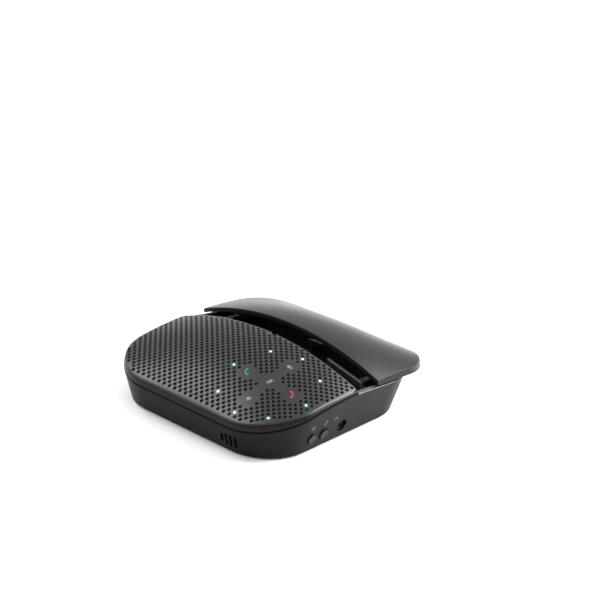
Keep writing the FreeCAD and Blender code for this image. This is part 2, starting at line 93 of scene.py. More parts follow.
# upper side band, its lean growing from front to rear
LEAN_FROM = -58.0               # y in millimetres
LEAN_OVER = 40.0
LEAN_LEAST = 0.08
LEAN_MORE = 0.52
BAND_END = SLOT_Y - 0.4 * MM

# grille
HOLE_R = 1.02 * MM
HOLE_CHAMFER = 0.1 * MM         # on the holes' upper edge
HOLE_SIDES = 12
LATTICE_X = range(-60, 30)      # half pitches from the ring's centre, past every edge
LATTICE_Y = range(-25, 25)
LIGHT_GAP = 0.1 * MM            # round each light
SAME_PLACE = 0.5 * MM           # a hole nearer to a light than this is the light's own
RIM_ROUND = 0.35 * MM           # how far the rolled rim reaches in
# The rolled rim's rings, back from the sheet's edge and down from its top.
RIM_BEVEL = [(back * MM, drop * MM) for back, drop in ((0.3, 0.02), (0.06, 0.14), (0.0, 0.2))]
RIM_BORDER = 0.4 * MM           # bare metal between the rim and the nearest hole
MESH_BORDER = 0.5 * MM          # free points of the mesh stay this far from the rim
BARE_BORDER = 0.6 * MM
CORNER_CUT = 1.6 * MM           # rounding of the two rear corners
CORNER_GAP = 0.2 * MM           # between the side's last point and that rounding
NEAR_SLOT = 6.0 * MM            # the side's widest point is this near the slot
NOTCH_Y = GRILLE_END + 0.4 * MM
NOTCH_EASE = 0.3 * MM           # soft corner each side of the notch
NOTCH_ARC = (-14.0, -152.0)     # degrees: its start and its turn

# touch area, its marks in millimetres from the ring's centre
TOUCH_MARKS = {"mute": (0.6, -0.6), "louder": (0.5, 13.7), "quieter": (0.4, -14.2),
               "answer": (-13.2, -2.2), "end": (14.4, 0.3)}
PAD_R = 5.0 * MM                # round each outer mark
PAD_FROM = 3.0 * MM             # a mark nearer the centre has no pad
ARM_HALF_W = 2.75 * MM          # between the centre and each mark

# bezel, and the slot's front wall under the end of the grille
GROOVE = 0.65 * MM              # height of the shadow groove
GROOVE_DEPTH = 1.5 * MM
BEZEL_T = 2.0 * MM
EDGE = 0.16 * MM                # softening of its edges
REVEAL = 0.12 * MM              # shadow line under the grille's edge
FOOT = 0.02 * MM                # of the bezel over the seam
SLOT_WALL_REACH = 56.6 * MM
SLOT_WALL_DROP = 2.8 * MM
SLOT_WALL_Y = (GRILLE_END - 2.2 * MM, GRILLE_END - 0.4 * MM)

# tops of the side walls beside the slot, (inset, rise) from the wall's upper edge
LIP = 0.15 * MM                 # how far the top stands out from the wall
LEDGE_W = 2.0 * MM
LEDGE_RISE = 0.85 * MM
LEDGE_START = GRILLE_END - 0.3 * MM
LEDGE_END = {1: 44.0 * MM, -1: 14.0 * MM}     # right and left
LEDGE_PROFILE = [(0.2 * MM, -0.1 * MM), (-LIP, -0.1 * MM), (-LIP, 0.08 * MM),
                 (0.05 * MM - LIP, 0.2 * MM), (0.2 * MM - LIP, 0.3 * MM),
                 (0.45 * MM - LIP, 0.36 * MM), (LEDGE_W, LEDGE_RISE), (LEDGE_W, 0.0)]

# side edges of the cover, (outwards, up) from the sharp corner
BEVEL = 0.25 * MM
BEVEL_START = COVER_FRONT + 0.3 * MM
BEVEL_TURNS = range(4, 68, 4)   # degrees round the rear corner
BEVEL_PROFILE = ((-BEVEL, 0.08 * MM), (0.01 * MM, 0.01 * MM - BEVEL), (-0.5 * MM, -0.6 * MM))

# lenses: radius and height over the dome in millimetres
LENS_PROFILE = ((0.5, -0.4), (0.5, 0.02), (0.44, 0.1), (0.32, 0.15), (0.16, 0.17), (0.03, 0.18))

# printed marks, the side ones at this y and z on the right wall in millimetres
PRINT_T = 0.05 * MM
LINK_TURN = 65                  # degrees, of the chain
SIDE_MARKS = {"power": (-27.3, 14.6), "pairing": (-18.3, 14.6), "headset": (-10.8, 14.6)}

# side buttons
BUTTON_EDGE = 0.35 * MM         # rounding of the cap
BUTTON_DISH = 0.18 * MM         # depth of its hollow
BUTTON_SIDES = 40
FLANGE_R = 3.7 * MM
FLANGE_X = (52.4 * MM, 51.3 * MM)     # its outer and inner face

# camera: azimuth, elevation and roll in degrees, place in metres, lens in millimetres
CAMERA_ANGLES = (40.316, 22.138, 3.857)
CAMERA_PLACE = (0.495111, -0.558502, 0.359675)
CAMERA_LENS = 96.957


# --- surfaces of the body -------------------------------------------------------------
def seam_z(y):
    """Height of the seam between the housing and what lies on it."""
    if y >= SLOT_Y:
        return SEAM_PEAK - (y - SLOT_Y) * math.tan(TILT)
    return SEAM_PEAK - SEAM_R + math.sqrt(SEAM_R ** 2 - (y - SLOT_Y) ** 2)


def lean(y):
    """Inward lean of the upper side band: near upright in front, more at the slot."""
    t = min(max((y / MM - LEAN_FROM) / LEAN_OVER, 0.0), 1.0)
    return LEAN_LEAST + LEAN_MORE * t * t * (3 - 2 * t)


def dome_z(x, y, dome=FRONT_DOME):
    """Height of a dome's top."""
    u = (y - SLOT_Y) / dome["length"]
    w = x / DOME_HALF_W
    return dome["edge"] - dome["drop"] * u * u + dome["crown"] * (1 - u * u) * (1 - w * w)


def dome_point(x, y, height=0.0):
    """A point at a height over the front dome, square to it."""
    h = 0.1 * MM
    slope_x = (dome_z(x + h, y) - dome_z(x - h, y)) / (2 * h)
    slope_y = (dome_z(x, y + h) - dome_z(x, y - h)) / (2 * h)
    return Vector((x, y, dome_z(x, y))) + Vector((-slope_x, -slope_y, 1)).normalized() * height


def wall_point(y, z, height=0.0):
    """A point at a height over the right wall, square to it."""
    out = Vector((1, 0, -DRAFT)).normalized()
    return Vector((HALF_W + DRAFT * z, y, z)) + out * height


def seam_end(direction):
    """Where the drafted wall meets the seam: y there and how far the outline has grown."""
    _, y0, _, ny = direction
    grown = 5.0 * MM
    for _ in range(SETTLE):
        grown = DRAFT * seam_z(y0 + ny * (CORNER_R + grown))
    return y0 + ny * (CORNER_R + grown), grown


# --- mesh helpers ---------------------------------------------------------------------
def piece(name, verts, faces, body, slot, replaces=(), sharp=35.0, material=None):
    """A mesh object that rides on a body. Its finish is the slot's unless one is given."""
    mesh = bpy.data.meshes.new(name)
    mesh.from_pydata([tuple(v) for v in verts], [], faces)
    mesh.validate()
    mesh.polygons.foreach_set("use_smooth", [True] * len(mesh.polygons))
    mesh.set_sharp_from_angle(angle=math.radians(sharp))
    obj = bpy.data.objects.new(name, mesh)
    bpy.context.scene.collection.objects.link(obj)
    mesh.materials.append(material or MATERIALS[slot])
    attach(obj, body)
    if replaces:
        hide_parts(*replaces)


def loft(rings):
    """Vertices and faces of a skin over closed rings of equal length, closed at both ends."""
    n = len(rings[0])
    verts = [v for ring in rings for v in ring]
    faces = []
    for k in range(len(rings) - 1):
        for i in range(n):
            j = (i + 1) % n
            a, b = k * n, (k + 1) * n
            faces.append((a + i, a + j, b + j, b + i))
    faces.append(tuple(reversed(range(n))))
    faces.append(tuple(range((len(rings) - 1) * n, len(rings) * n)))
    return verts, faces


def joined(parts):
    """Several (vertices, faces) as one."""
    verts, faces = [], []
    for v, f in parts:
        start = len(verts)
        verts += list(v)
        faces += [tuple(i + start for i in face) for face in f]
    return verts, faces


def around(count):
    """Even angles of a full turn."""
    return np.linspace(0, 2 * math.pi, count, endpoint=False)


# --- materials ------------------------------------------------------------------------
class Shader:
    """One procedural material: a Principled shader with texture nodes feeding it."""

    def __init__(self, name, **constants):
        self.material = bpy.data.materials.new(name)
        self.material.use_nodes = True
        self.tree = self.material.node_tree
        self.surface = self.tree.nodes["Principled BSDF"]
        for socket, value in constants.items():
            self.surface.inputs[socket.replace("_", " ")].default_value = value
        self.coords = self.tree.nodes.new("ShaderNodeTexCoord").outputs["Object"]

    def node(self, kind, settings=(), **inputs):
        """A new node. An input goes by its name, or by i and its number."""
        made = self.tree.nodes.new("ShaderNode" + kind)
        for key, value in dict(settings).items():
            setattr(made, key, value)
        for key, value in inputs.items():
            numbered = key[0] == "i" and key[1:].isdigit()
            socket = made.inputs[int(key[1:]) if numbered else key.replace("_", " ")]
            if isinstance(value, bpy.types.NodeSocket):
                self.tree.links.new(value, socket)
            else:
                socket.default_value = value
        return made

    def link(self, output, socket):
        self.tree.links.new(output, self.surface.inputs[socket])

    def noise(self, size, detail=3.0, roughness=0.5):
        """Noise whose features are about the given size in metres."""
        return self.node("TexNoise", Vector=self.coords, Scale=1.0 / size, Detail=detail,
                         Roughness=roughness).outputs["Fac"]

    def colour(self, value, dark, light):
        """Base colour between two colours, as the value goes from 0.1 to 0.9."""
        ramp = self.node("ValToRGB", Fac=value)
        ramp.color_ramp.elements[0].position = 0.1
        ramp.color_ramp.elements[1].position = 0.9
        ramp.color_ramp.elements[0].color = (*dark, 1)
        ramp.color_ramp.elements[1].color = (*light, 1)
        self.link(ramp.outputs["Color"], "Base Color")

    def rough(self, value, low, high):
        """Roughness between two levels, as the value goes from 0.1 to 0.9."""
        made = self.node("MapRange", Value=value, From_Min=0.1, From_Max=0.9, To_Min=low,
                         To_Max=high)
        self.link(made.outputs["Result"], "Roughness")

    def bump(self, value, depth):
        made = self.node("Bump", Height=value, Distance=depth)
        self.link(made.outputs["Normal"], "Normal")

    def glow(self, colour, strength):
        """Even light from the whole surface."""
        self.surface.inputs["Emission Color"].default_value = (*colour, 1)
        self.surface.inputs["Emission Strength"].default_value = strength

    def painted_glow(self, near, far, strength):
        """Painted teal glow around each ring light, fading out between two distances."""
        def vector(operation, a, b, output):
            return self.node("VectorMath", {"operation": operation}, i0=a, i1=b).outputs[output]

        flat = vector("MULTIPLY", self.coords, (1, 1, 0), "Vector")
        nearest = None
        for x, y in LIGHTS:
            away = vector("DISTANCE", flat, (x, y, 0), "Value")
            if nearest is None:
                nearest = away
            else:
                nearest = self.node("Math", {"operation": "MINIMUM"}, i0=nearest,
                                    i1=away).outputs["Value"]
        fade = self.node("MapRange", {"interpolation_type": "SMOOTHSTEP"}, Value=nearest,
                         From_Min=near, From_Max=far, To_Min=strength, To_Max=0.0)
        self.surface.inputs["Emission Color"].default_value = (0.1, 0.75, 0.5, 1)
        self.link(fade.outputs["Result"], "Emission Strength")


def moulded(name, grey, rough, depth=0.012 * MM, specular=0.4):
    """Moulded plastic: fine spark-eroded grain, slow changes of tone and gloss."""
    s = Shader(name, Specular_IOR_Level=specular)
    grain = s.noise(0.35 * MM, 2.0)
    slow = s.noise(14 * MM, 2.0)
    s.colour(slow, [0.94 * grey] * 3, [1.06 * grey] * 3)
    s.rough(slow, rough - 0.03, rough + 0.03)
    s.bump(grain, depth)
    return s.material


def grille_metal(name, grey, rough):
    """Satin powder coat with slight orange peel, and a painted glow beside the lights."""
    s = Shader(name, Metallic=0.2, Specular_IOR_Level=0.4)
    peel = s.noise(0.5 * MM, 2.0)
    slow = s.noise(18 * MM, 2.0)
    s.colour(slow, [0.95 * grey] * 3, [1.05 * grey] * 3)
    s.rough(slow, rough - 0.03, rough + 0.03)
    s.bump(peel, 0.006 * MM)
    # painted teal glow of the ring lights on the sheet
    s.painted_glow(0.5 * MM, 2.2 * MM, 0.1)
    return s.material


def rubber(name, grey):
    """Matt rubber or foam with a fine crumb."""
    s = Shader(name, Specular_IOR_Level=0.3)
    fine = s.noise(0.2 * MM, 4.0, 0.7)
    slow = s.noise(6 * MM, 3.0)
    s.colour(slow, [0.85 * grey] * 3, [1.15 * grey] * 3)
    s.rough(slow, 0.7, 0.85)
    s.bump(fine, 0.03 * MM)
    return s.material


def metal(name, colour, rough, stretch=(1, 1, 1)):
    """Bare metal with fine scratches, finer along the axes that are stretched."""
    s = Shader(name, Metallic=1.0)
    scaled = s.node("Mapping", Vector=s.coords, Scale=stretch).outputs["Vector"]
    lines = s.node("TexNoise", Vector=scaled, Scale=1.0 / (0.3 * MM), Detail=2.0).outputs["Fac"]
    s.colour(lines, [0.9 * c for c in colour], colour)
    s.rough(lines, rough - 0.06, rough + 0.06)
    s.bump(lines, 0.004 * MM)
    return s.material


def acoustic_cloth(name):
    """Black acoustic weave, with a painted glow round each light under the grille."""
    s = Shader(name, Specular_IOR_Level=0.2)
    weave = s.node("TexWave", {"wave_type": "BANDS"}, Vector=s.coords,
                   Scale=0.2 / MM).outputs["Fac"]
    s.colour(weave, (0.004, 0.004, 0.004), (0.01, 0.01, 0.01))
    s.rough(weave, 0.85, 0.95)
    s.bump(weave, 0.05 * MM)
    # painted teal glow of the ring lights on the cloth
    s.painted_glow(1.0 * MM, 3.4 * MM, 0.05)
    return s.material


def lit(name, colour, strength, rough=0.3):
    """A lit lens, or a printed mark with a painted glow: an even glow over a slightly uneven
    colour.
    """
    s = Shader(name, Roughness=rough)
    slow = s.noise(2.0 * MM, 1.0)
    s.colour(slow, [0.9 * c for c in colour], colour)
    s.glow(colour, strength)
    return s.material


def circuit_board(name):
    s = Shader(name, Roughness=0.35, Coat_Weight=0.3)
    cells = s.node("TexVoronoi", {"feature": "F1", "distance": "MANHATTAN"}, Vector=s.coords,
                   Scale=0.35 / MM).outputs["Distance"]
    s.colour(cells, (0.012, 0.09, 0.045), (0.02, 0.14, 0.07))
    s.bump(cells, 0.03 * MM)
    return s.material


def paper(name):
    s = Shader(name, Specular_IOR_Level=0.2)
    fibre = s.noise(0.4 * MM, 5.0, 0.7)
    s.colour(fibre, (0.035, 0.034, 0.033), (0.06, 0.058, 0.056))
    s.rough(fibre, 0.8, 0.95)
    s.bump(fibre, 0.05 * MM)
    return s.material


MATERIALS = {
    "housing": moulded("housing", 0.003, 0.42, specular=0.11),
    "bezel": moulded("bezel", 0.003, 0.38, specular=0.15),
    "grille": grille_metal("grille", 0.014, 0.34),
    "cloth": acoustic_cloth("cloth"),
    "cover": moulded("cover", 0.01, 0.32, depth=0.006 * MM, specular=0.15),
    "rubber": rubber("rubber", 0.012),
    "inner_plastic": moulded("inner_plastic", 0.012, 0.6, specular=0.25),
    "steel": metal("steel", (0.55, 0.55, 0.54), 0.35, stretch=(1, 12, 1)),
    "light_pipe": lit("light_pipe", (0.04, 0.42, 0.30), 0.35),
    "board": circuit_board("board"),
    "chip": moulded("chip", 0.02, 0.5),
    "button": moulded("button", 0.008, 0.42, specular=0.3),
    "socket_metal": metal("socket_metal", (0.62, 0.6, 0.56), 0.25),
    "paper_cone": paper("paper_cone"),
    "magnet": metal("magnet", (0.22, 0.22, 0.23), 0.45),
    "foil": metal("foil", (0.4, 0.41, 0.43), 0.3, stretch=(1, 1, 6)),
    "foam": rubber("foam", 0.03),
}
LENS = lit("lens", (0.70, 1.0, 0.90), 0.95)
MIC_MESH = moulded("mic_mesh", 0.006, 0.7, depth=0.02 * MM, specular=0.1)
# Lighter and glossier than the cover's own plastic: a painted highlight along the open cover's
# side edges.
PAINTED_HIGHLIGHT_EDGE = moulded("painted_highlight_edge", 0.03, 0.28, depth=0.002 * MM, specular=0.8)
# Far lighter and glossier than the housing's plastic: a painted highlight on the walls' tops
# beside the slot.
LEDGE_PAINTED_HIGHLIGHT = moulded("ledge_painted_highlight", 0.03, 0.24, depth=0.003 * MM, specular=0.6)
# The printed marks glow faintly though nothing lights them: painted light.
MARK_GREY = lit("mark_grey", (0.17, 0.18, 0.18), 0.08, 0.5)
MARK_DIM = lit("mark_dim", (0.11, 0.12, 0.12), 0.02, 0.5)
MARK_GREEN = lit("mark_green", (0.02, 0.14, 0.04), 0.3, 0.5)
MARK_RED = lit("mark_red", (0.28, 0.015, 0.035), 0.15, 0.5)

for part in frame["record"]["subparts"]:
    mesh = frame["nodes"][part["node"]].data
    mesh.materials.clear()
    mesh.materials.append(MATERIALS[part["material_slot"]])
frame["nodes"]["microphone"].data.materials[0] = MIC_MESH


# --- outline of the front top ---------------------------------------------------------
def sweep_directions():
    """Skeleton points of the front half's outline with their outward directions, from the
    left end round the front to the right end."""
    cx, cy = HALF_W - CORNER_R, HALF_L - CORNER_R
    arc_steps, side_steps = 28, 16
    found = [(-cx, BAND_END + (-cy - BAND_END) * i / side_steps, -1.0, 0.0)
             for i in range(side_steps)]
    for x0, start in ((-cx, 180.0), (cx, 270.0)):
        for i in range(arc_steps + 1):
            a = math.radians(start + 90.0 * i / arc_steps)
            found.append((x0, -cy, math.cos(a), math.sin(a)))
        if start == 180.0:
            found += [(-cx + 2 * cx * i / side_steps, -cy, 0.0, -1.0)
                      for i in range(1, side_steps)]
    found += [(cx, -cy + (BAND_END + cy) * i / side_steps, 1.0, 0.0)
              for i in range(1, side_steps + 1)]
    return found


def band_point(direction, z, inset=0.0):
    """A point on the upper side band at height z."""
    x0, y0, nx, ny = direction
    y_seam, grown = seam_end(direction)
    offset = CORNER_R + grown - lean(y_seam) * (z - seam_z(y_seam)) - inset
    return Vector((x0 + nx * offset, y0 + ny * offset, z))


def rim_height(direction):
    """Height at which the side band meets the dome."""
    z = FRONT_DOME["edge"]
    for _ in range(SETTLE):
        p = band_point(direction, z)
        z = dome_z(p.x, p.y)
    return z


def front_outline():
    """The rim in plan from the left end round the front: (x, y, outward direction, lean)."""
    found = []
    for direction in sweep_directions():
        p = band_point(direction, rim_height(direction))
        found.append((p.x, p.y, direction[2], direction[3], lean(seam_end(direction)[0])))
    return [p for p in found if p[1] < GRILLE_END - CORNER_CUT - CORNER_GAP]


def rear_edge(half_width):
    """The straight rear edge from right to left with its rounded ends and the notch."""
    corner_steps, notch_steps, edge_steps = 6, 8, 26
    corner = []
    for i in range(corner_steps + 1):
        a = math.radians(90.0 * i / corner_steps)
        corner.append((half_width - CORNER_CUT * (1 - math.cos(a)),
                       GRILLE_END - CORNER_CUT * (1 - math.sin(a)), math.cos(a), math.sin(a)))
    notch = []
    for i in range(notch_steps + 1):
        a = math.radians(NOTCH_ARC[0] + NOTCH_ARC[1] * i / notch_steps)
        notch.append((NOTCH_X + NOTCH_R * math.cos(a), NOTCH_Y + NOTCH_R * math.sin(a),
                      -math.cos(a), -math.sin(a)))

    def straight(start, end):
        return [(start + (end - start) * i / edge_steps, GRILLE_END, 0.0, 1.0)
                for i in range(1, edge_steps)]

    reach = half_width - CORNER_CUT
    half_notch = math.sqrt(NOTCH_R ** 2 - (NOTCH_Y - GRILLE_END) ** 2) + NOTCH_EASE
    found = corner + straight(reach, NOTCH_X + half_notch)
    found += notch + straight(NOTCH_X - half_notch, -reach)
    found += [(-x, y, -nx, ny) for x, y, nx, ny in reversed(corner)]
    return [(*p, 0.0) for p in found]


def rim():
    """The whole rim as one closed loop."""
    front = front_outline()
    half_width = max(p[0] for p in front if abs(p[1] - GRILLE_END) < NEAR_SLOT)
    return rear_edge(half_width) + front


# --- grille ---------------------------------------------------------------------------
def in_touch_area(x, y):
    """True in the cross without holes round the touch marks."""
    centre = Vector(RING)
    p = Vector((x, y))
    for mx, my in TOUCH_MARKS.values():
        mark_place = Vector((mx * MM, my * MM))
        if (p - centre - mark_place).length < PAD_R and mark_place.length > PAD_FROM:
            return True
        t = min(max((p - centre).dot(mark_place) / mark_place.length_squared, 0.0), 1.0)
        if (p - centre - mark_place * t).length < ARM_HALF_W:
            return True
    return False


def lattice(parity):
    """Points of one of the two sets that make up the staggered lattice."""
    return [(RING[0] + i * PITCH_X / 2, RING[1] + j * PITCH_Y / 2)
            for i in LATTICE_X for j in LATTICE_Y if (i + j) % 2 == parity]


def depth_inside(outline, points):
    """Distance of each point to the closed outline, negative outside it."""
    a = np.array([p[:2] for p in outline])
    b = np.roll(a, -1, axis=0)
    p = np.array(points)[:, None, :]
    ab = b - a
    t = np.clip(((p - a) * ab).sum(2) / (ab * ab).sum(1), 0, 1)
    away = np.linalg.norm(p - a - ab * t[:, :, None], axis=2).min(1)
    spans = (a[:, 1] > p[:, :, 1]) != (b[:, 1] > p[:, :, 1])
    crossing = ab[:, 0] * (p[:, :, 1] - a[:, 1]) / (ab[:, 1] + 1e-15) + a[:, 0]
    crosses = spans & (p[:, :, 0] < crossing)
    return np.where(crosses.sum(1) % 2 == 1, away, -away)


def distance(point, light):
    return (Vector(point) - Vector(light)).length


def grille_holes(places, inside):
    """Centre and radius of every hole, the ones round the lights last."""
    holes = []
    for place, deep in zip(places, inside):
        at_light = min(distance(place, light) for light in LIGHTS) < SAME_PLACE
        if deep > RIM_BORDER + HOLE_R and not at_light and not in_touch_area(*place):
            holes.append((*place, HOLE_R))
    return holes + [(x, y, LIGHT_R + LIGHT_GAP) for x, y in LIGHTS]


def counter_clockwise(points, face):
    a, b, c = (points[i] for i in face[:3])
    return (b.x - a.x) * (c.y - a.y) - (b.y - a.y) * (c.x - a.x) > 0


def pierced_plan(inner, holes, loose):
    """The sheet in plan: its points, its faces clear of the holes, and the numbers of the
    points along the rim and round each hole."""
    flat = list(inner)
    edges = [(i, (i + 1) % len(inner)) for i in range(len(inner))]
    for x, y, r in holes:
        start = len(flat)
        for k in range(HOLE_SIDES):
            a = 2 * math.pi * (k + 0.5) / HOLE_SIDES
            flat.append((x + r * math.cos(a), y + r * math.sin(a)))
        edges += [(start + k, start + (k + 1) % HOLE_SIDES) for k in range(HOLE_SIDES)]
    flat += loose
    points, _, faces, original, _, _ = delaunay_2d_cdt(
        [Vector(p) / MM for p in flat], edges, [], 0, 1e-7)
    points = [p * MM for p in points]

    middle = np.array([[sum(points[i][k] for i in f) / len(f) for k in (0, 1)] for f in faces])
    keep = depth_inside(inner, middle) > 0
    for x, y, r in holes:
        flat_side = r * math.cos(math.pi / HOLE_SIDES) - 0.01 * MM
        keep &= np.hypot(middle[:, 0] - x, middle[:, 1] - y) > flat_side
    faces = [tuple(f) if counter_clockwise(points, f) else tuple(reversed(f))
             for f, use in zip(faces, keep) if use]

    owner = {source: i for i, sources in enumerate(original) for source in sources}
    rim_ids = [owner[i] for i in range(len(inner))]
    hole_ids = [[owner[len(inner) + h * HOLE_SIDES + k] for k in range(HOLE_SIDES)]
                for h in range(len(holes))]
    return points, faces, rim_ids, hole_ids


def speaker_grille():
    """The domed sheet with its real holes and a rolled rim."""
    outline = rim()
    inner = [(x - nx * RIM_ROUND, y - ny * RIM_ROUND) for x, y, nx, ny, _ in outline]
    places = lattice(1)
    inside = depth_inside(outline, places)
    holes = grille_holes(places, inside)

    # Free points between the holes and in the bare areas keep the mesh even.
    between = lattice(0)
    loose = [p for p, deep in zip(between, depth_inside(inner, between)) if deep > MESH_BORDER]
    bare = [p for p, deep in zip(places, inside) if deep > RIM_ROUND + BARE_BORDER]
    taken = {(x, y) for x, y, _ in holes}
    taken |= {min(bare, key=lambda p: distance(p, light)) for light in LIGHTS}
    loose += [p for p in bare if p not in taken]
    points, plan, rim_ids, hole_ids = pierced_plan(inner, holes, loose)

    verts = [(p.x, p.y, dome_z(p.x, p.y)) for p in points]
    narrow = {}
    for (x, y, r), ids in zip(holes, hole_ids):
        s = (r - HOLE_CHAMFER) / r
        for i in ids:
            narrow[i] = (x + (points[i].x - x) * s, y + (points[i].y - y) * s)
    low = {}
    for i, p in enumerate(points):
        x, y = narrow.get(i, (p.x, p.y))
        low[i] = len(verts)
        verts.append((x, y, dome_z(x, y) - GRILLE_T))
    step = {}
    for i, (x, y) in narrow.items():
        step[i] = len(verts)
        verts.append((x, y, dome_z(x, y) - HOLE_CHAMFER))
    faces = plan + [tuple(reversed([low[i] for i in f])) for f in plan]
    for ids in hole_ids:
        for a, b in zip(ids, ids[1:] + ids[:1]):
            faces.append((a, b, step[b], step[a]))
            faces.append((step[a], step[b], low[b], low[a]))

    def ring_at(places_and_heights):
        start = len(verts)
        verts.extend(places_and_heights)
        return list(range(start, len(verts)))

    rings = [rim_ids]
    for back, drop in RIM_BEVEL:
        moved = [(x - nx * back, y - ny * back) for x, y, nx, ny, _ in outline]
        rings.append(ring_at([(x, y, dome_z(x, y) - drop) for x, y in moved]))
    rings.append(ring_at([
        (x + nx * (slope * GRILLE_T), y + ny * (slope * GRILLE_T), dome_z(x, y) - GRILLE_T)
        for x, y, nx, ny, slope in outline]))
    rings.append([low[i] for i in rim_ids])
    for upper, lower in zip(rings, rings[1:]):
        for i in range(len(upper)):
            j = (i + 1) % len(upper)
            faces.append((upper[i], lower[i], lower[j], upper[j]))
    piece("grille_sheet", verts, faces, "base", "grille", ("speaker_grille",), sharp=30.0)


# --- bezel, side walls and cover edges ------------------------------------------------
def front_bezel():
    """The band under the grille, over a deep shadow groove, and the slot's front wall."""
    rings = []
    for direction in sweep_directions():
        low = seam_z(seam_end(direction)[0])
        high = rim_height(direction) - GRILLE_T - REVEAL
        profile = [(BEZEL_T, low + FOOT), (GROOVE_DEPTH, low + FOOT),
                   (GROOVE_DEPTH, low + GROOVE), (EDGE, low + GROOVE),
                   (0.3 * EDGE, low + GROOVE + 0.3 * EDGE), (0.0, low + GROOVE + EDGE),
                   (0.0, high - EDGE), (0.3 * EDGE, high - 0.3 * EDGE), (EDGE, high),
                   (BEZEL_T, high)]
        rings.append([band_point(direction, z, inset) for inset, z in profile])
    steps = 24
    front, back = SLOT_WALL_Y
    bars = []
    for k in range(steps + 1):
        x = -SLOT_WALL_REACH + 2 * SLOT_WALL_REACH * k / steps
        top = dome_z(x, GRILLE_END) - GRILLE_T - REVEAL
        low = SEAM_PEAK - SLOT_WALL_DROP
        bars.append([Vector((x, front, low)), Vector((x, front, top)),
                     Vector((x, back - EDGE, top)), Vector((x, back, top - EDGE)),
                     Vector((x, back, low))])
    verts, faces = joined([loft(rings), loft(bars)])
    piece("bezel_band", verts, faces, "base", "bezel", ("front_bezel",))


def wall_ledges():
    """The sloping top of the side walls, seen between the bezel and the cover, lighter and
    glossier than the housing: a painted highlight.
    """
    parts = []
    for side in (1, -1):
        rings = []
        for y in np.linspace(LEDGE_START, LEDGE_END[side], 24):
            z = seam_z(y)
            over = max(0.0, y - HALF_L + CORNER_R)
            x = HALF_W - CORNER_R + math.sqrt((CORNER_R + DRAFT * z) ** 2 - over ** 2)
            rings.append([Vector((side * (x - inset), y, z + up))
                          for inset, up in LEDGE_PROFILE])
        parts.append(loft(rings))
    piece("wall_ledges", *joined(parts), "base", "housing", material=LEDGE_PAINTED_HIGHLIGHT)


def cover_corner(sy, angle):
    """Sharp corner between the closed cover's top and its right side, and the outward
    direction there."""
    nx, ny = math.cos(angle), math.sin(angle)
    y_seam, grown = seam_end((HALF_W - CORNER_R, sy, nx, ny))
    seam = seam_z(y_seam)
    z = COVER_DOME["edge"]
    for _ in range(SETTLE):
        offset = CORNER_R + grown - COVER_LEAN * (z - seam)
        x, y = HALF_W - CORNER_R + nx * offset, sy + ny * offset
        z = dome_z(x, y, COVER_DOME)
    return x, y, z, nx, ny


def cover_bevels():
    """Narrow glossy bevels along the side edges of the open cover, lighter than the cover: a
    painted highlight.
    """
    turn = HALF_L - CORNER_R
    stations = [(y, 0.0) for y in np.linspace(BEVEL_START, turn, 20)]
    stations += [(turn, math.radians(a)) for a in BEVEL_TURNS]
    parts = []
    for side in (1, -1):
        rings = []
        for sy, angle in stations:
            x, y, z, nx, ny = cover_corner(sy, angle)
            rings.append([Vector((side * (x + nx * out), y + ny * out, z + up)) + OPEN
                          for out, up in BEVEL_PROFILE])
        parts.append(loft(rings))
    piece("cover_bevels", *joined(parts), "cover", "cover", material=PAINTED_HIGHLIGHT_EDGE)


# --- ring lights ----------------------------------------------------------------------
def light_lenses():
    """A low domed lens over each light pipe."""
    for number, (x, y) in enumerate(LIGHTS):
        rings = [[dome_point(x + r * MM * math.cos(t), y + r * MM * math.sin(t), h * MM)
                  for t in around(16)] for r, h in LENS_PROFILE]
        piece(f"light_lens_{number + 1}", *loft(rings), "base", "light_pipe", material=LENS)


# --- printed marks, drawn in millimetres ----------------------------------------------
def stroke(points, width, place):
    """A raised printed line of the given width along points in the plane."""
    path = [Vector(p) for p in points]
    rows = []
    for i, p in enumerate(path):
        ahead = path[min(i + 1, len(path) - 1)] - path[max(i - 1, 0)]
        side = Vector((-ahead.y, ahead.x)).normalized() * width / 2
        rows.append([place(*(p + side), -0.3 * PRINT_T), place(*(p + side), PRINT_T),
                     place(*(p - side), PRINT_T), place(*(p - side), -0.3 * PRINT_T)])
    return loft(rows)


def arc(cx, cy, r, a0, a1, n=14):
    return [(cx + r * math.cos(math.radians(a0 + (a1 - a0) * i / n)),
             cy + r * math.sin(math.radians(a0 + (a1 - a0) * i / n))) for i in range(n + 1)]


def line(x0, y0, x1, y1, n=4):
    return [(x0 + (x1 - x0) * i / n, y0 + (y1 - y0) * i / n) for i in range(n + 1)]


def turned(points, degrees):
    c, s = math.cos(math.radians(degrees)), math.sin(math.radians(degrees))
    return [(x * c - y * s, x * s + y * c) for x, y in points]


def handset(spin):
    """A plain handset: a bowed grip with a block at each end."""
    grip = turned(arc(0, 2.6, 3.1, -128, -52), spin)
    left = turned(line(-2.1, 0.05, -1.55, 0.75), spin)
    right = turned(line(2.1, 0.05, 1.55, 0.75), spin)
    return [(grip, 0.75), (left, 1.15), (right, 1.15)]


def speaker_mark(waves):
    """A small loudspeaker with sound waves beside it."""
    shapes = [(line(-1.5, 0.0, -0.75, 0.0), 1.1), (line(-0.8, 0, -0.3, 0), 1.7),
              (line(-0.35, 0, 0.1, 0), 2.5)]
    for k in range(waves):
        shapes.append((arc(0.0, 0.0, 0.8 + 0.65 * k, -48, 48), 0.28))
    return shapes


def microphone_mark():
    """A microphone on its stand, struck through."""
    return [(line(0, 0.2, 0, 1.7), 1.0), (arc(0, 0.55, 1.05, 190, 350), 0.28),
            (line(0, -0.5, 0, -1.3), 0.28), (line(-0.6, -1.35, 0.6, -1.35), 0.28),
            (line(-1.4, -1.2, 1.4, 1.9), 0.3)]


def power_mark():
    return [(arc(0, 0, 0.9, 120, 420, 20), 0.36), (line(0, 0.2, 0, 1.2), 0.36)]


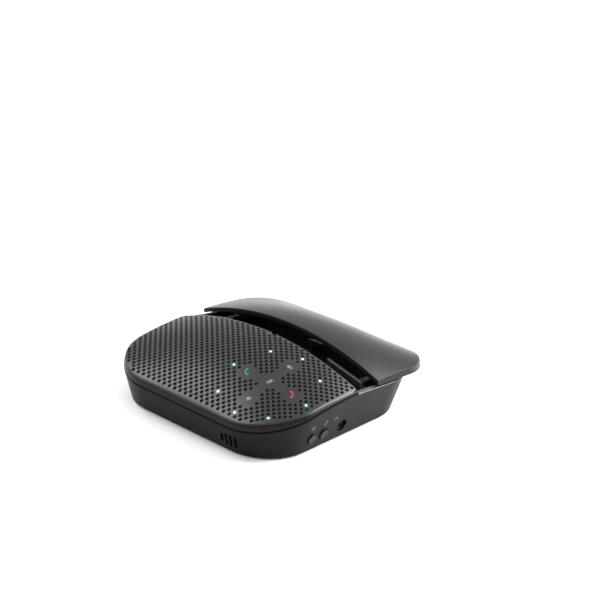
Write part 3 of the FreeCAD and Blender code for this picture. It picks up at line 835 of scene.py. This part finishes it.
def link_mark():
    """Two links of a chain."""
    shapes = []
    for side in (-1, 1):
        bend = arc(side * 0.85, 0, 0.42, 90 - 90 * (side + 1), 270 - 90 * (side + 1), 10)
        upper = line(side * 0.85, 0.42, side * 0.2, 0.42)
        lower = line(side * 0.85, -0.42, side * 0.2, -0.42)
        shapes += [(turned(points, LINK_TURN), 0.34) for points in (bend, upper, lower)]
    shapes.append((turned(line(-0.45, 0, 0.45, 0), LINK_TURN), 0.34))
    return shapes


def headset_mark():
    return [(arc(0, -0.1, 0.95, 0, 180, 16), 0.3), (line(-0.9, -0.75, -0.9, -0.05), 0.6),
            (line(0.9, -0.75, 0.9, -0.05), 0.6)]


def mark(name, strokes, place, material, slot):
    """One mark on the surface that place(x, y, height) describes."""
    verts, faces = joined([stroke(points, width, place) for points, width in strokes])
    piece("mark_" + name, verts, faces, "base", slot, material=material)


def touch_marks():
    def on_dome(dx, dy):
        x0, y0 = RING[0] + dx * MM, RING[1] + dy * MM
        return lambda x, y, h: dome_point(x0 + x * MM, y0 + y * MM, h)

    drawings = {"mute": (microphone_mark(), MARK_GREY), "louder": (speaker_mark(2), MARK_GREY),
                "quieter": (speaker_mark(1), MARK_GREY), "answer": (handset(-45), MARK_GREEN),
                "end": (handset(135), MARK_RED)}
    for name, (strokes, material) in drawings.items():
        mark(name, strokes, on_dome(*TOUCH_MARKS[name]), material, "grille")


def side_marks():
    def on_wall(y0, z0):
        return lambda x, y, h: wall_point((y0 + x) * MM, (z0 + y) * MM, h)

    drawings = {"power": power_mark(), "pairing": link_mark(), "headset": headset_mark()}
    for name, strokes in drawings.items():
        mark(name, strokes, on_wall(*SIDE_MARKS[name]), MARK_DIM, "housing")


# --- side buttons ---------------------------------------------------------------------
def button_cap(name, y0):
    """A round cap with a soft edge and a shallow dish, on its retaining flange."""
    def face_ring(r, back):
        """A ring this far back from the cap's face, which follows the wall's draft."""
        ring = []
        for t in around(BUTTON_SIDES):
            y, z = y0 + r * math.cos(t), BUTTON_Z + r * math.sin(t)
            ring.append(Vector((HALF_W + DRAFT * z + BUTTON_PROUD - back, y, z)))
        return ring

    def flat_ring(r, x):
        return [Vector((x, y0 + r * math.cos(t), BUTTON_Z + r * math.sin(t)))
                for t in around(BUTTON_SIDES)]

    dish_r = BUTTON_R - BUTTON_EDGE
    rings = [face_ring(0.02 * dish_r, BUTTON_DISH)]
    rings += [face_ring(f * dish_r, BUTTON_DISH * (1 - f) ** 1.5) for f in (0.2, 0.4, 0.6, 0.75)]
    for k in range(6):
        a = math.radians(90.0 * k / 5)
        rings.append(face_ring(dish_r + BUTTON_EDGE * math.sin(a),
                               BUTTON_EDGE * (1 - math.cos(a))))
    outer, inner = FLANGE_X
    for r, x in ((BUTTON_R, outer), (FLANGE_R, outer), (FLANGE_R, inner), (0.1 * MM, inner)):
        rings.append(flat_ring(r, x))
    verts, faces = loft([list(reversed(ring)) for ring in rings])
    piece(name + "_cap", verts, faces, name + "_key", "button", (name + "_button",))


# --- build ----------------------------------------------------------------------------
speaker_grille()
front_bezel()
cover_bevels()
wall_ledges()
light_lenses()
touch_marks()
side_marks()
for key, y in BUTTON_Y.items():
    button_cap(key, y)


# --- floor, light and camera ----------------------------------------------------------
def floor(half):
    mesh = bpy.data.meshes.new("floor")
    mesh.from_pydata([(-half, -half, 0), (half, -half, 0), (half, half, 0), (-half, half, 0)],
                     [], [(0, 1, 2, 3)])
    obj = bpy.data.objects.new("floor", mesh)
    bpy.context.scene.collection.objects.link(obj)
    s = Shader("floor", Roughness=0.9, Specular_IOR_Level=0.1)
    s.colour(s.noise(0.4, 1.0), (0.94, 0.94, 0.94), (0.95, 0.95, 0.95))
    mesh.materials.append(s.material)


def area_light(name, place, target, size, power):
    data = bpy.data.lights.new(name, "AREA")
    data.shape = "RECTANGLE"
    data.size = data.size_y = size
    data.energy = power
    obj = bpy.data.objects.new(name, data)
    obj.location = place
    obj.rotation_euler = (Vector(target) - Vector(place)).to_track_quat("-Z", "Y").to_euler()
    bpy.context.scene.collection.objects.link(obj)


def world(strength):
    made = bpy.data.worlds.new("studio")
    made.use_nodes = True
    background = made.node_tree.nodes["Background"]
    background.inputs["Color"].default_value = (1, 1, 1, 1)
    background.inputs["Strength"].default_value = strength
    bpy.context.scene.world = made


def camera():
    azimuth, elevation, roll = (math.radians(a) for a in CAMERA_ANGLES)
    back = Vector((math.sin(azimuth) * math.cos(elevation),
                   -math.cos(azimuth) * math.cos(elevation), math.sin(elevation)))
    right = Vector((0, 0, 1)).cross(back).normalized()
    up = back.cross(right)
    x_axis = right * math.cos(roll) + up * math.sin(roll)
    y_axis = up * math.cos(roll) - right * math.sin(roll)
    data = bpy.data.cameras.new("camera")
    data.lens = CAMERA_LENS
    data.sensor_width = 36.0
    data.clip_start = 0.01
    obj = bpy.data.objects.new("camera", data)
    matrix = Matrix((x_axis, y_axis, back)).transposed().to_4x4()
    matrix.translation = CAMERA_PLACE
    obj.matrix_world = matrix
    bpy.context.scene.collection.objects.link(obj)
    bpy.context.scene.camera = obj


floor(4.0)
world(1.1)
area_light("rim_left", (-0.8, -0.13, 1.0), (0, 0, 0), 0.45, 6.0)
area_light("rim_rear", (0.05, 0.9, 0.88), (0, 0, 0), 0.35, 6.0)
area_light("key_right_rear", (0.55, 0.65, 0.5), (0.1, 0.1, 0), 0.5, 14.0)
camera()
bpy.context.scene.view_settings.view_transform = "Standard"
